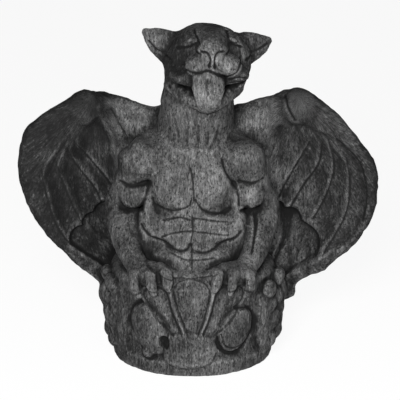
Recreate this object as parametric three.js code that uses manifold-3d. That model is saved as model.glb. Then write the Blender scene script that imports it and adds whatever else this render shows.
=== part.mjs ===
// A winged gargoyle crouching on a shell-fronted capital, cast as one solid in stone.
// Units are millimetres, +Z up. The figure faces -Y, and the origin is the middle of the flat underside.
import * as THREE from "three";
import { mergeVertices } from "three/addons/utils/BufferGeometryUtils.js";
import Module from "manifold-3d";

const wasm = await Module();
wasm.setup();

// Driving dimensions.
const FOOT_RADIUS = 103; // the plinth's foot
const LEAF_RADIUS = 117; // the capital where its leaves swell
const LEDGE_Z = 130; // top of the capital, where the claws rest
const CHEST_Z = 232; // middle of the ribcage
const SHOULDER_Z = 266; // middle of the deltoids
const SHOULDER_X = 66;
const ELBOW_X = 97;
const WING_SHIFT = 5; // both wings stand this much to one side
const WING_SWAY = 0.085; // and lean back over by this much for each mm of height
const SWAY_Z = 250; // the height where that lean is nil
const HEAD_AT = [20, -24, 394]; // middle of the skull, a little to one side of the neck
const FACETS = [0.9, 1.3, 1.7]; // the join's small facets are merged within these, one after the other
const WELD = 1e-3; // points nearer than this are one point
const STONE = { color: 0x4a4a4a, roughness: 0.85, metalness: 0 };

const SIDES = [-1, 1]; // the figure's right side, then its left

// A closed geometry whose faces all turn outwards: they are turned over when its volume comes out negative.
function facingOut(geometry) {
  const position = geometry.getAttribute("position");
  const index = geometry.index.array;
  const corners = [0, 1, 2].map(() => new THREE.Vector3());
  let volume = 0;
  for (let i = 0; i < index.length; i += 3) {
    corners.forEach((corner, k) => corner.fromBufferAttribute(position, index[i + k]));
    volume += corners[0].dot(corners[1].cross(corners[2]));
  }
  if (volume < 0)
    for (let i = 0; i < index.length; i += 3) [index[i + 1], index[i + 2]] = [index[i + 2], index[i + 1]];
  return geometry;
}

// A closed three.js geometry as a manifold-3d solid.
function solidOf(geometry) {
  const bare = geometry.index ? geometry.toNonIndexed() : geometry.clone();
  for (const name of ["normal", "uv"]) bare.deleteAttribute(name);
  const merged = facingOut(mergeVertices(bare, WELD));
  return new wasm.Manifold(
    new wasm.Mesh({
      numProp: 3,
      vertProperties: merged.getAttribute("position").array,
      triVerts: new Uint32Array(merged.index.array),
    }),
  );
}

// An ellipsoid muscle or boss.
function ball({ at, size, turn = [0, 0, 0], around = 12, rings = 8 }) {
  const geometry = new THREE.SphereGeometry(1, around, rings);
  geometry.rotateX(Math.PI / 2);
  geometry.scale(...size);
  const matrix = new THREE.Matrix4().makeRotationFromEuler(new THREE.Euler(...turn));
  geometry.applyMatrix4(matrix.setPosition(...at));
  return geometry;
}

// A value read from evenly spaced stations by straight-line steps, at t from 0 to 1.
function between(stations, t) {
  const place = t * (stations.length - 1);
  const low = Math.min(Math.floor(place), stations.length - 2);
  return THREE.MathUtils.lerp(stations[low], stations[low + 1], place - low);
}

// A round-ended limb along a smooth path. radii are its half widths at evenly spaced stations, and
// flat is its thickness as a share of its width, measured along the direction thin.
function limb({ path, radii, flat = 1, thin = [0, 1, 0], around = 8, rings = 9 }) {
  const curve = new THREE.CatmullRomCurve3(path.map((p) => new THREE.Vector3(...p)));
  const length = curve.getLength();
  const geometry = new THREE.SphereGeometry(1, around, rings);
  const position = geometry.getAttribute("position");
  const point = new THREE.Vector3();
  const thinAxis = new THREE.Vector3(...thin);
  for (let i = 0; i < position.count; i += 1) {
    point.fromBufferAttribute(position, i);
    const t = (1 - Math.min(1, Math.max(-1, point.y))) / 2;
    const tangent = curve.getTangentAt(t);
    const wide = new THREE.Vector3().crossVectors(tangent, thinAxis).normalize();
    const deep = new THREE.Vector3().crossVectors(wide, tangent).normalize();
    const radius = between(radii, t);
    const fromEnd = Math.min(1, (Math.min(t, 1 - t) * length) / radius);
    const cap = Math.sqrt(1 - (1 - fromEnd) ** 2);
    const turned = Math.atan2(point.z, point.x);
    const at = curve.getPointAt(t);
    at.addScaledVector(deep, Math.cos(turned) * radius * cap * flat);
    at.addScaledVector(wide, -Math.sin(turned) * radius * cap);
    position.setXYZ(i, at.x, at.y, at.z);
  }
  return geometry;
}

// A point given for the figure's left side, mirrored to the side asked for.
const onSide = (side, [x, y, z]) => [side * x, y, z];
const pathOn = (side, path) => path.map((p) => onSide(side, p));

// ---- Torso and neck: a deep barrel chest over a paunch, with the slabs of muscle carved on it.
function torso() {
  const forms = [
    ball({ at: [0, -4, CHEST_Z - 6], size: [62, 56, 78], around: 16, rings: 12 }),
    ball({ at: [2, -20, 168], size: [61, 54, 42], around: 16, rings: 8 }),
    ball({ at: [0, -26, LEDGE_Z + 10], size: [58, 60, 32], around: 16, rings: 8 }),
    ball({ at: [0, -10, 282], size: [62, 36, 30], around: 14, rings: 8 }),
    ball({ at: [0, 26, 214], size: [58, 46, 92], around: 14, rings: 10 }),
    limb({
      path: [[0, 18, 262], [5, 2, 312], [8, -10, 352], [14, -12, 396]],
      radii: [52, 50, 45, 44],
      flat: 0.86,
      around: 14,
      rings: 10,
    }),
  ];
  for (const side of SIDES) {
    forms.push(
      ball({ at: [side * 25, -38, 236], size: [31, 23, 29], turn: [0, side * 0.15, side * 0.3] }),
      ball({ at: [side * 19, -54, 195], size: [21, 15, 12] }),
      ball({ at: [side * 20, -57, 177], size: [24, 16, 13], turn: [0, side * 0.15, 0] }),
      ball({ at: [side * 22, -48, 150], size: [32, 32, 22] }),
      limb({ path: pathOn(side, [[26, 6, 322], [50, 0, 296], [74, -6, 274]]), radii: [18, 22, 16] }),
      limb({
        path: pathOn(side, [[28, -30, 336], [20, -42, 308], [5, -48, 284]]),
        radii: [6, 6, 4],
        around: 6,
        rings: 6,
      }),
    );
  }
  return forms;
}

// ---- Arms: short and heavy, elbows out, with the hands on the ledge and claws hooked over the shell.
const FINGERS = [
  { path: [[66, -88, 138], [73, -104, 128], [71, -110, 106]], radii: [9, 8, 4] },
  { path: [[56, -90, 139], [50, -108, 129], [49, -114, 105]], radii: [10, 9, 5] },
  { path: [[46, -90, 139], [32, -106, 132], [30, -113, 114]], radii: [9, 8, 4] },
];
function arm(side) {
  const shoulder = [SHOULDER_X, -20, SHOULDER_Z];
  const elbow = [ELBOW_X, -8, 206];
  const forms = [
    ball({ at: onSide(side, shoulder), size: [29, 28, 27] }),
    limb({ path: pathOn(side, [shoulder, [80, -18, 236], elbow]), radii: [24, 20, 15] }),
    ball({ at: onSide(side, [75, -24, 222]), size: [19, 20, 21], turn: [0, side * 0.3, 0] }),
    limb({
      path: pathOn(side, [elbow, [90, -26, 181], [79, -58, 154], [66, -84, 139]]),
      radii: [14, 20, 17, 12],
      around: 10,
      rings: 10,
    }),
    ball({ at: onSide(side, [56, -88, 136]), size: [24, 19, 12] }),
  ];
  for (const finger of FINGERS)
    forms.push(limb({ path: pathOn(side, finger.path), radii: finger.radii, around: 7, rings: 6 }));
  return forms;
}

// ---- Wings: a bat's wing cupped forwards. All its places are for the left wing, and x is mirrored
// and swayed for the other side.
const WRIST = [134, 8, 332];
const WING_OUTLINE = [
  [40, 30, 322], [73, 24, 331], [101, 18, 344], [127, 12, 351], [150, 8, 348], [172, 4, 333],
  [195, 2, 318], [216, 0, 294], [229, 0, 265], [231, 0, 234], [225, 2, 200], [212, 5, 172],
  [191, 10, 143], [161, 18, 120], [136, 26, 101], [118, 30, 84], [108, 32, 62], [70, 40, 66],
];
const WING_MIDDLE = [122, 46, 212]; // the deepest place of the cup
const FINGER_BONES = [
  [WRIST, [174, 14, 292], [190, 22, 244], [182, 25, 190], [155, 25, 139]],
  [WRIST, [164, 22, 284], [172, 28, 250], [160, 30, 210], [137, 30, 172]],
  [WRIST, [153, 22, 285], [154, 28, 256], [138, 32, 222], [117, 32, 186]],
  [WRIST, [143, 22, 290], [136, 28, 262], [119, 32, 232], [101, 32, 202]],
];
const BONE_PROUD = 2; // the bones stand this much before the membrane
const swayed = (side, [x, y, z]) => [side * x + WING_SHIFT - WING_SWAY * (z - SWAY_Z), y, z];
const swayedPath = (side, path) => path.map((p) => swayed(side, p));

// The plate that backs the whole wing: rays from the cup's middle to the outline, once in front and once
// behind, so the rim stands forward of the middle.
function wingPlate(side) {
  const AROUND = 30;
  const RINGS = 12;
  const THICK = 13;
  const CUP = 2.5; // the higher, the nearer to the rim the plate turns forwards
  const EDGE = 6; // the higher, the blunter its edge
  const loop = new THREE.CatmullRomCurve3(WING_OUTLINE.map((p) => new THREE.Vector3(...p)), true);
  const middle = new THREE.Vector3(...WING_MIDDLE);
  const geometry = new THREE.SphereGeometry(1, AROUND, RINGS);
  const position = geometry.getAttribute("position");
  const point = new THREE.Vector3();
  for (let i = 0; i < position.count; i += 1) {
    point.fromBufferAttribute(position, i);
    const u = (Math.atan2(point.z, point.x) / (2 * Math.PI) + 1) % 1;
    const edge = loop.getPointAt(u);
    const share = 1 - Math.abs((2 * Math.acos(THREE.MathUtils.clamp(point.y, -1, 1))) / Math.PI - 1);
    const face = point.y > 0 ? -1 : 1;
    const at = new THREE.Vector3().lerpVectors(middle, edge, share);
    at.y = THREE.MathUtils.lerp(middle.y, edge.y, share ** CUP);
    at.y += face * (THICK / 2) * Math.sqrt(Math.max(0, 1 - share ** EDGE));
    const placed = swayed(side, at.toArray());
    position.setXYZ(i, ...placed);
  }
  return geometry;
}

// The membrane: it sags between the finger bones and ends in scallops from tip to tip.
function membrane(side) {
  const ACROSS = 4; // columns between two bones
  const ALONG = 8;
  const SAG = 5;
  const THICK = 9;
  const SCALLOP = 0.13; // how far its hem rises between two tips, as a share of the bones' length
  const LEAST = 1e-6; // keeps a column that lies on a bone from rounding down
  const rim = [[150, 10, 330], [196, 4, 290], [210, 6, 240], [200, 12, 180], [160, 24, 136]];
  const root = [[120, 12, 326], [112, 24, 300], [100, 30, 270], [94, 30, 235], [92, 30, 205]];
  const bones = [rim, ...FINGER_BONES, root];
  const curves = bones.map((b) => new THREE.CatmullRomCurve3(b.map((p) => new THREE.Vector3(...p))));
  const columns = (curves.length - 1) * ACROSS;
  const front = new THREE.PlaneGeometry(1, 1, columns, ALONG);
  const back = front.clone();
  for (const [sheet, step] of [[front, 0], [back, THICK]]) {
    const position = sheet.getAttribute("position");
    for (let i = 0; i < position.count; i += 1) {
      const across = THREE.MathUtils.clamp(position.getX(i) + 0.5, 0, 1) * columns / ACROSS;
      const along = THREE.MathUtils.clamp(0.5 - position.getY(i), 0, 1);
      const bone = Math.min(Math.floor(across + LEAST), curves.length - 2);
      const share = across - bone;
      const bow = Math.max(0, 4 * share * (1 - share));
      const t = along * (1 - SCALLOP * bow);
      const at = curves[bone].getPointAt(t).lerp(curves[bone + 1].getPointAt(t), share);
      at.y += bow * SAG * Math.sin(Math.PI * Math.min(1, along + 0.2)) + step;
      position.setXYZ(i, ...swayed(side, at.toArray()));
    }
  }
  return closedSheet(front, back, columns, ALONG);
}

// Two like plane grids joined round their border into one closed body.
function closedSheet(front, back, columns, rows) {
  const count = front.getAttribute("position").count;
  const places = [...front.getAttribute("position").array, ...back.getAttribute("position").array];
  const faces = [];
  const index = front.index.array;
  for (let i = 0; i < index.length; i += 3) {
    faces.push(index[i], index[i + 2], index[i + 1]);
    faces.push(index[i] + count, index[i + 1] + count, index[i + 2] + count);
  }
  const border = [];
  for (let c = 0; c < columns; c += 1) border.push(c);
  for (let r = 0; r < rows; r += 1) border.push(r * (columns + 1) + columns);
  for (let c = columns; c > 0; c -= 1) border.push(rows * (columns + 1) + c);
  for (let r = rows; r > 0; r -= 1) border.push(r * (columns + 1));
  border.forEach((a, i) => {
    const b = border[(i + 1) % border.length];
    faces.push(b, a, a + count, b, a + count, b + count);
  });
  const geometry = new THREE.BufferGeometry();
  geometry.setAttribute("position", new THREE.Float32BufferAttribute(places, 3));
  geometry.setIndex(faces);
  return geometry;
}

function wing(side) {
  const forms = [
    wingPlate(side),
    membrane(side),
    limb({
      path: swayedPath(side, [[44, 16, 284], [74, 14, 300], [104, 12, 322], [136, 8, 334]]),
      radii: [30, 26, 20, 15],
      flat: 0.8,
      around: 10,
    }),
    limb({
      path: swayedPath(side, [
        [128, 8, 338], [158, 2, 330], [188, -3, 306], [212, -5, 272], [219, -5, 234],
        [212, -3, 196], [190, 5, 158], [160, 16, 132], [134, 26, 110], [114, 30, 84],
      ]),
      radii: [14, 14, 13, 12, 12, 12, 11, 11, 11, 10, 8],
      rings: 22,
    }),
    ball({ at: swayed(side, [133, -2, 330]), size: [10, 10, 14], around: 8, rings: 6 }),
  ];
  for (const bone of FINGER_BONES) {
    const proud = bone.map(([x, y, z]) => [x, y - BONE_PROUD, z]);
    forms.push(limb({ path: swayedPath(side, proud), radii: [7, 5, 4.5, 4, 3.5], around: 6, rings: 9 }));
  }
  return forms;
}

// ---- Head: a big cat's, thrown back, with its jaws open and its tongue out. Its places are measured
// from the middle of the skull.
function head() {
  const skull = [
    ball({ at: [0, 4, 0], size: [54, 52, 50], around: 16, rings: 12 }),
    ball({ at: [0, -18, -22], size: [51, 40, 34], around: 16, rings: 8 }),
    ball({ at: [5, -30, 30], size: [26, 24, 20], around: 12, rings: 8 }),
    limb({ path: [[2, -20, 22], [4, -48, 24], [5, -72, 26]], radii: [27, 22, 15], around: 10, rings: 8 }),
    ball({ at: [5, -70, 31], size: [15, 11, 10], around: 10 }),
    ball({ at: [-9, -70, 12], size: [16, 16, 12] }),
    ball({ at: [22, -68, 10], size: [17, 16, 13] }),
    ball({ at: [-30, -44, -9], size: [18, 20, 12] }),
    ball({ at: [33, -42, -10], size: [17, 20, 12] }),
    limb({ path: [[-42, -22, 24], [-28, -42, 34], [-10, -52, 40]], radii: [8, 8, 6], around: 6, rings: 6 }),
    limb({ path: [[44, -20, 22], [36, -40, 32], [20, -50, 39]], radii: [8, 8, 6], around: 6, rings: 6 }),
    ball({ at: [-18, -48, 33], size: [8, 7, 6], around: 8, rings: 6 }),
    ball({ at: [27, -46, 31], size: [8, 7, 6], around: 8, rings: 6 }),
  ];
  const openings = [
    ball({ at: [0, -62, -18], size: [42, 34, 8], around: 12, rings: 6 }),
    ball({ at: [-3, -82, 28], size: [4, 6, 3], around: 6, rings: 4 }),
    ball({ at: [13, -82, 28], size: [4, 6, 3], around: 6, rings: 4 }),
  ];
  const added = [
    limb({
      path: [
        [-46, -22, -26], [-34, -46, -26], [-16, -58, -38], [2, -60, -46],
        [20, -58, -40], [36, -44, -28], [48, -20, -26],
      ],
      radii: [8, 8, 9, 10, 9, 8, 8],
      rings: 12,
    }),
    limb({
      path: [[0, -40, -8], [0, -68, -10], [0, -76, -24], [0, -70, -38]],
      radii: [17, 18, 18, 16],
      flat: 0.36,
      around: 12,
    }),
    ear([-42, 12, 17], [-82, 14, 36]),
    ear([46, 12, 16], [79, 14, 32]),
  ];
  const masses = wasm.Manifold.union(skull.map(solidOf));
  const carved = wasm.Manifold.difference([masses, ...openings.map(solidOf)]);
  return wasm.Manifold.union([carved, ...added.map(solidOf)]).translate(HEAD_AT);
}

// A pricked ear from its root to its tip, broad and thin.
function ear(root, tip) {
  const middle = root.map((r, i) => (r + tip[i]) / 2);
  return limb({ path: [root, middle, tip], radii: [22, 16, 3], flat: 0.42, around: 10 });
}

// ---- Capital: a round drum whose front is a scallop shell between two scrolls, with leaves round it.
const DRUM_PROFILE = [
  [0, 0], [FOOT_RADIUS - 3, 0], [FOOT_RADIUS + 1, 4], [FOOT_RADIUS + 2, 18], [FOOT_RADIUS - 6, 26],
  [LEAF_RADIUS - 17, 40], [LEAF_RADIUS - 14, 70], [LEAF_RADIUS - 11, 100], [LEAF_RADIUS - 10, 118],
  [LEAF_RADIUS - 14, 126], [LEAF_RADIUS - 26, LEDGE_Z], [0, LEDGE_Z + 2],
];
const SHELL_FOOT_Z = 50;
const SHELL_TOP_Z = 129;
const SHELL_FLARE = 9;
const DRUM_FACETS = 48;
function drum() {
  const profile = DRUM_PROFILE.map(([r, z]) => new THREE.Vector2(r, z));
  const geometry = new THREE.LatheGeometry(profile, DRUM_FACETS);
  geometry.rotateX(Math.PI / 2);
  return geometry;
}

// A point on the shell's face: it flares forwards and outwards from its foot.
function onShell(x, z, proud = 0) {
  const rise = (z - SHELL_FOOT_Z) / (SHELL_TOP_Z - SHELL_FOOT_Z);
  const radius = LEAF_RADIUS - 13 + SHELL_FLARE * rise ** 1.5 + proud;
  return [x, -Math.sqrt(radius ** 2 - x ** 2), z];
}

// One lobe of the shell, from its narrow foot to its round top, which stands across from the foot.
function lobe(across, top, wide) {
  const stations = [0, 0.35, 0.7, 1];
  const spine = stations.map((t) => onShell(across * t, THREE.MathUtils.lerp(SHELL_FOOT_Z, top, t), -3));
  return limb({ path: spine, radii: [8, wide * 0.7, wide, wide], flat: 0.5, around: 10, rings: 10 });
}

function shell() {
  const forms = [lobe(0, SHELL_TOP_Z, 23)];
  for (const side of SIDES)
    forms.push(
      lobe(side * 44, SHELL_TOP_Z - 10, 18),
      ball({ at: [side * 56, -82, 60], size: [23, 20, 34], turn: [0.1, side * 0.25, side * 0.5] }),
      ball({ at: [side * 48, -90, 30], size: [17, 12, 12], around: 10, rings: 6 }),
    );
  forms.push(ball({ at: [-5, -86, 38], size: [32, 19, 19] }));
  return forms;
}

// Leaves stand round the sides and back, each a swelling spine between two lobes, with a curled tip.
function leaves() {
  const COUNT = 4; // on each side
  const FIRST = THREE.MathUtils.degToRad(62);
  const SPACING = THREE.MathUtils.degToRad(32);
  const FLANK = 0.22; // the turn, in radians, from a leaf's spine to its side lobes
  const forms = [];
  for (const side of SIDES)
    for (let k = 0; k < COUNT; k += 1) {
      const angle = side * (FIRST + k * SPACING);
      const polar = (r, z, turn = 0) => [r * Math.sin(angle + turn), -r * Math.cos(angle + turn), z];
      const thin = polar(1, 0);
      forms.push(
        limb({
          path: [polar(FOOT_RADIUS - 6, 20), polar(LEAF_RADIUS - 9, 46), polar(LEAF_RADIUS - 10, 84)],
          radii: [16, 24, 17],
          flat: 0.6,
          thin,
        }),
        ball({ at: polar(LEAF_RADIUS - 10, 100), size: [13, 13, 11], around: 8, rings: 6 }),
      );
      for (const flank of [-FLANK, FLANK])
        forms.push(
          limb({
            path: [
              polar(FOOT_RADIUS - 6, 30, flank),
              polar(LEAF_RADIUS - 14, 54, flank),
              polar(LEAF_RADIUS - 12, 72, flank * 1.3),
            ],
            radii: [9, 13, 9],
            flat: 0.7,
            thin,
            around: 6,
            rings: 6,
          }),
        );
    }
  return forms;
}

const solids = [
  ...torso().map(solidOf),
  ...SIDES.flatMap((side) => arm(side).map(solidOf)),
  ...SIDES.flatMap((side) => wing(side).map(solidOf)),
  head(),
  solidOf(drum()),
  ...shell().map(solidOf),
  ...leaves().map(solidOf),
];
// The pockets shut in between forms are filled, because only the outer skin of the join is kept.
function outerSkin(solid) {
  return solid.decompose().reduce((most, skin) => (skin.volume() > most.volume() ? skin : most));
}
let figure = outerSkin(wasm.Manifold.union(solids));
for (const facet of FACETS) figure = outerSkin(figure.asOriginal().simplify(facet));
const { vertProperties, triVerts, numProp } = figure.getMesh();
const places = new Float32Array((vertProperties.length / numProp) * 3);
for (let i = 0; i < places.length / 3; i += 1)
  places.set(vertProperties.subarray(i * numProp, i * numProp + 3), i * 3);
const geometry = new THREE.BufferGeometry();
geometry.setAttribute("position", new THREE.BufferAttribute(places, 3));
geometry.setIndex(new THREE.BufferAttribute(triVerts, 1));
geometry.computeVertexNormals();

const gargoyle = new THREE.Mesh(geometry, new THREE.MeshStandardMaterial(STONE));
gargoyle.name = "gargoyle";
const part = new THREE.Group();
part.add(gargoyle);

export default part;
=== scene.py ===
import bpy
import numpy as np
from mathutils import Euler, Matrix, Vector


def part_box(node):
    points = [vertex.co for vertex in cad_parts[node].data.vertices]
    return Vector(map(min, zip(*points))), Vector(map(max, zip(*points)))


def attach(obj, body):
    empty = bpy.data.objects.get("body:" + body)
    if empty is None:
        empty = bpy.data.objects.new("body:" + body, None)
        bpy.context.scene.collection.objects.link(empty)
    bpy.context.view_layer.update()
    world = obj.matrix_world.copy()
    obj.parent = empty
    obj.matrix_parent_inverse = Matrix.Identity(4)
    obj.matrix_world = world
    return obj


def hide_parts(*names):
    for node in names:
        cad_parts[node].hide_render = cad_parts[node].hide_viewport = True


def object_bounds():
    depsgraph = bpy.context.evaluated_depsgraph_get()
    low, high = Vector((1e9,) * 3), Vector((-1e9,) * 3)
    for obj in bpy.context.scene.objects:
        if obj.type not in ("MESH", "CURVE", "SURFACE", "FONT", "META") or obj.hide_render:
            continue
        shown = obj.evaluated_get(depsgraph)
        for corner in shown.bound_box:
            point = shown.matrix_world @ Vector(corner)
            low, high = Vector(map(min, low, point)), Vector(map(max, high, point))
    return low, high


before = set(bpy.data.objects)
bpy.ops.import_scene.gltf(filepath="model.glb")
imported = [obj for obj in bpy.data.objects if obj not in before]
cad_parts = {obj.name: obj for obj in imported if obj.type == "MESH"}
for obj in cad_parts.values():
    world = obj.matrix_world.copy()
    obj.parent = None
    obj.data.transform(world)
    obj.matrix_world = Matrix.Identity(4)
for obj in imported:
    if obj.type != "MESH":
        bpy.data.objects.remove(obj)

cad_low, cad_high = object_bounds()

# ---- The block: the gargoyle is one casting, so it is modelled as one body of clay and cast once.
# The clay is a field of distances in millimetres, negative inside, sampled on a grid that fills the
# solid's box. Every form below is pressed into that field, and the skin is drawn off it at the end.
MM = 1000.0
GRID = 1.35
MARGIN = 7.0
EMPTY = 60.0
TINY = 1e-6  # keeps a division by a length of nil finite
box_low, box_high = (np.array(corner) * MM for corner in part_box("gargoyle"))
axes = [np.arange(a - MARGIN, b + MARGIN, GRID, dtype=np.float32) for a, b in zip(box_low, box_high)]
clay = np.full([len(axis) for axis in axes], EMPTY, np.float32)


def patch(low, high):
    """The clay's sample points inside a box: their slices, and x, y and z that broadcast together."""
    spans = (np.searchsorted(axis, (a, b)) for axis, a, b in zip(axes, low, high))
    cut = tuple(slice(start, stop) for start, stop in spans)
    x, y, z = (axis[span] for axis, span in zip(axes, cut))
    return cut, x[:, None, None], y[None, :, None], z[None, None, :]


def soft_min(a, b, blend):
    """min(a, b) - blend / 4 * (1 - |a - b| / blend)^2 where the two are nearer than blend: a fillet."""
    near = np.maximum(0, 1 - np.abs(a - b) / blend)
    return np.minimum(a, b) - blend / 4 * near**2


def press(cut, distance, blend, cut_away=False):
    """Joins a form to the clay with a fillet of that size, or cuts it out of the clay."""
    if cut_away:
        clay[cut] = -soft_min(-clay[cut], distance, blend)
    else:
        clay[cut] = soft_min(clay[cut], distance, blend)


def lump(at, size, turn=(0, 0, 0), blend=6.0, cut_away=False):
    """An ellipsoid. With q = (point - at) turned back and s = |q / size|, its distance is
    s (s - 1) / |q / size^2|."""
    own = np.array(Euler(turn).to_matrix())
    reach = np.sqrt(own**2 @ np.square(size, dtype=float)) + blend + 3 * GRID
    cut, x, y, z = patch(at - reach, at + reach)
    q = [own[0, k] * (x - at[0]) + own[1, k] * (y - at[1]) + own[2, k] * (z - at[2]) for k in range(3)]
    scaled = np.sqrt(sum((part / s) ** 2 for part, s in zip(q, size)))
    steep = np.sqrt(sum((part / s**2) ** 2 for part, s in zip(q, size)))
    press(cut, (scaled * (scaled - 1) / np.maximum(steep, TINY)).astype(np.float32), blend, cut_away)


def smooth_path(points, steps=5, closed=False):
    """A Catmull-Rom curve: between b and c it is
    b + t (c - a) / 2 + t^2 (a - 5b/2 + 2c - d/2) + t^3 (3 (b - c) + d - a) / 2."""
    p = np.array(points, float)
    if closed:
        around = np.vstack([p[-1], p, p[0], p[1]])
    else:
        around = np.vstack([2 * p[0] - p[1], p, 2 * p[-1] - p[-2]])
    a, b, c, d = (around[k : len(around) - 3 + k, None] for k in range(4))
    t = (np.arange(steps) / steps)[None, :, None]
    curve = b + t * (c - a) / 2 + t**2 * (a - 2.5 * b + 2 * c - d / 2) + t**3 * (3 * (b - c) + d - a) / 2
    curve = curve.reshape(-1, p.shape[1])
    return curve if closed else np.vstack([curve, p[-1]])


def limb(path, radii, flat=1.0, thin=(0, 1, 0), blend=5.0, cut_away=False):
    """A round-ended limb on a smooth path: the least over its pieces of |offset from the axis| - radius,
    with the offset stretched by 1 / flat along thin. radii are at evenly spaced stations."""
    points = smooth_path(path)
    sizes = np.interp(np.linspace(0, 1, len(points)), np.linspace(0, 1, len(radii)), radii)
    thin = np.array(thin, float) / np.linalg.norm(thin)
    room = sizes.max() + blend + 3 * GRID
    whole, *_ = patch(points.min(0) - room, points.max(0) + room)
    nearest = np.full([span.stop - span.start for span in whole], EMPTY, np.float32)
    for a, b, wide_a, wide_b in zip(points[:-1], points[1:], sizes[:-1], sizes[1:]):
        cut, x, y, z = patch(np.minimum(a, b) - room, np.maximum(a, b) + room)
        along = b - a
        toward = (x - a[0]) * along[0] + (y - a[1]) * along[1] + (z - a[2]) * along[2]
        t = np.clip(toward / max(along @ along, TINY), 0, 1)
        off = [x - a[0] - t * along[0], y - a[1] - t * along[1], z - a[2] - t * along[2]]
        over = (1 / flat - 1) * sum(o * axis for o, axis in zip(off, thin))
        distance = np.sqrt(sum((o + over * axis) ** 2 for o, axis in zip(off, thin)))
        distance = (distance - (wide_a + t * (wide_b - wide_a))) * (flat + 1) / 2
        inner = tuple(slice(c.start - w.start, c.stop - w.start) for c, w in zip(cut, whole))
        nearest[inner] = np.minimum(nearest[inner], distance)
    press(whole, nearest, blend, cut_away)


def line_distance(path, u, v):
    """The distance in a plane from each point (u, v) to a smooth line drawn in that plane."""
    points = smooth_path(path)
    nearest = np.full(np.broadcast(u, v).shape, EMPTY)
    for a, b in zip(points[:-1], points[1:]):
        along = b - a
        t = np.clip(((u - a[0]) * along[0] + (v - a[1]) * along[1]) / max(along @ along, TINY), 0, 1)
        nearest = np.minimum(nearest, np.hypot(u - a[0] - t * along[0], v - a[1] - t * along[1]))
    return nearest


scored = []  # every line cut into the front, for the painted shadow line and dark wash drawn along it


def crease(path, width, depth, nearest_y=-200.0, furthest_y=30.0, gets_dark_line=True):
    """A line drawn in x and z and carved straight back: the skin sinks by
    depth * exp(-(distance / width)^2). A negative depth raises a ridge. If asked, a sunk line gets a
    painted shadow line with dark wash along it."""
    points = np.array(path, float)
    room = 3 * width + GRID
    low = (points[:, 0].min() - room, nearest_y, points[:, 1].min() - room)
    high = (points[:, 0].max() + room, furthest_y, points[:, 1].max() + room)
    cut, x, _, z = patch(low, high)
    clay[cut] += (depth * np.exp(-((line_distance(path, x, z) / width) ** 2))).astype(np.float32)
    if depth > 0 and gets_dark_line:
        scored.append((path, nearest_y, furthest_y))


SIDES = (-1, 1)


def on(side, *points):
    """Points given for the figure's left, mirrored to the side asked for."""
    return [(side * p[0], *p[1:]) for p in points]


# ---- Torso: a deep barrel chest over a paunch, hunched at the back, with the muscles as low slabs
# whose edges are carved lines.
lump((0, -4, 226), (62, 54, 78), blend=1)  # ribcage
lump((1, -20, 166), (66, 51, 44), blend=14)  # paunch
lump((0, -24, 142), (70, 58, 34), blend=12)  # lap
lump((0, -10, 278), (60, 35, 27), blend=14)  # shoulder girdle
lump((0, 26, 214), (58, 46, 92), blend=20)  # hunched back
for side in SIDES:
    lump((side * 25, -34, 238), (28, 24, 32), (0, side * 0.12, side * 0.3), 8)  # breast
    lump((side * 22, -40, 192), (30, 22, 10), blend=10)  # upper slab of the belly
    lump((side * 24, -46, 177), (33, 24, 13), blend=10)  # lower slab
    lump((side * 18, -44, 148), (38, 38, 18), blend=8)  # the fold under it
    lump((side * 52, -26, 214), (12, 22, 30), (0, 0, side * 0.4), 10)  # flank
    limb(on(side, (26, 6, 296), (48, 0, 284), (70, -6, 272)), (16, 18, 14), blend=10)
    lump((side * 58, -34, 172), (14, 26, 38), blend=10)  # side of the paunch
CHEST_LINES = (  # each a path, its width and its depth
    (((-50, 222), (-46, 212), (-30, 207), (-15, 209), (-4, 215), (-1, 222)), 2.0, 1.3),
    (((4, 222), (13, 209), (26, 204), (40, 203), (48, 208)), 2.0, 1.5),
    (((-2, 262), (1, 244), (2, 218)), 2.0, 0.8),
    (((38, 271), (42, 257), (49, 245), (56, 238)), 2.0, 1.2),
    (((-36, 196), (-15, 200), (-4, 197), (3, 199), (26, 196), (43, 193)), 1.6, 0.7),
    (((-38, 177), (-24, 182), (-4, 184), (7, 183), (26, 181), (44, 178)), 1.6, 0.8),
    (((0, 202), (1, 185), (-1, 172)), 1.6, 0.8),
    (((-64, 188), (-53, 175), (-38, 172), (-28, 164), (-15, 160), (-6, 162), (-2, 167)), 2.2, 2.0),
    (((-2, 167), (2, 161), (13, 158), (26, 161), (38, 168), (53, 172), (62, 181)), 2.2, 2.0),
    (((-26, 158), (-10, 151), (6, 150), (26, 152)), 1.6, 0.8),
    (((-1, 162), (0, 150), (0, 140)), 1.6, 0.9),
    (((-58, 150), (-42, 141), (-24, 134), (-5, 132), (18, 134), (32, 142)), 2.0, 1.0),
)
for path, width, depth in CHEST_LINES:
    crease(path, width, depth)

# ---- Neck: a thick column that leans to the figure's left, with tendons down to the pit of the throat
# and a pair of collar bones.
limb(((0, 18, 262), (5, 2, 312), (8, -10, 352), (14, -12, 396)), (50, 49, 45, 44), 0.86, blend=9)
for path, raised in (
    (((-28, 330), (-24, 312), (-15, 295), (-8, 286)), 1.2),
    (((-1, 326), (-1, 300), (0, 284)), 0.7),
    (((16, 326), (15, 300), (12, 284)), 0.7),
    (((32, 326), (26, 298), (19, 285)), 0.9),
    (((-34, 294), (-20, 285), (-6, 282)), 1.0),
    (((24, 281), (38, 290), (47, 303)), 1.2),
):
    crease(path, 3.4, -1.2 * raised)
for path, depth in (
    (((-19, 308), (-16, 298), (-10, 288)), 1.2),
    (((34, 314), (30, 298), (23, 287)), 1.4),
    (((-8, 309), (-6, 290)), 0.9),
    (((8, 316), (7, 300), (8, 288)), 0.7),
    (((21, 306), (19, 291)), 1.0),
):
    crease(path, 1.5, depth, gets_dark_line=False)

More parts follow.
